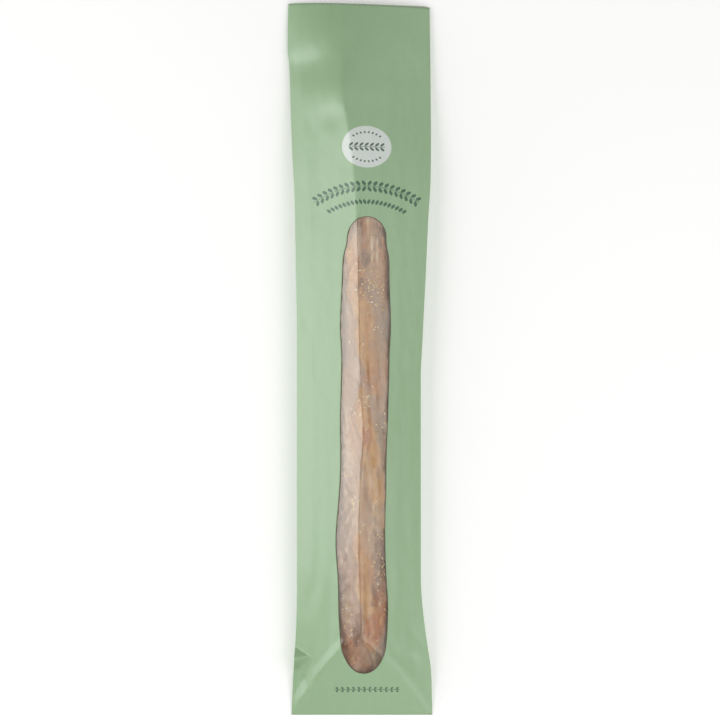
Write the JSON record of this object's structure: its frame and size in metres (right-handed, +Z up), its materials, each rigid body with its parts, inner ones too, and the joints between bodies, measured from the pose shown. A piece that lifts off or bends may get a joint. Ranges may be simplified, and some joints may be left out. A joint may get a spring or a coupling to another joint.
{
  "type": "baguette in a windowed paper bag",
  "caption": "Long baguette lying in a narrow paper bag with an open mouth, a glued bottom and a long round-ended window of clear film in the front.",
  "frame": {"origin": "on the surface that the bag lies on, at the middle of its length and width", "axes": "+X to the right across the bag, +Y along the bag towards its open mouth, +Z up, out of the window"},
  "size_m": [0.122, 0.6, 0.0454],
  "materials": {
    "bag_paper": "satin coated paper, sage green outside and off-white inside",
    "clear_film": "clear film, slightly hazy",
    "bread_crust": "baked crust, matt, floured in places"
  },
  "bodies": {
    "root": {"paper_bag": "bag_paper", "window_film": "clear_film", "baguette": "bread_crust"}
  },
  "joints": []
}
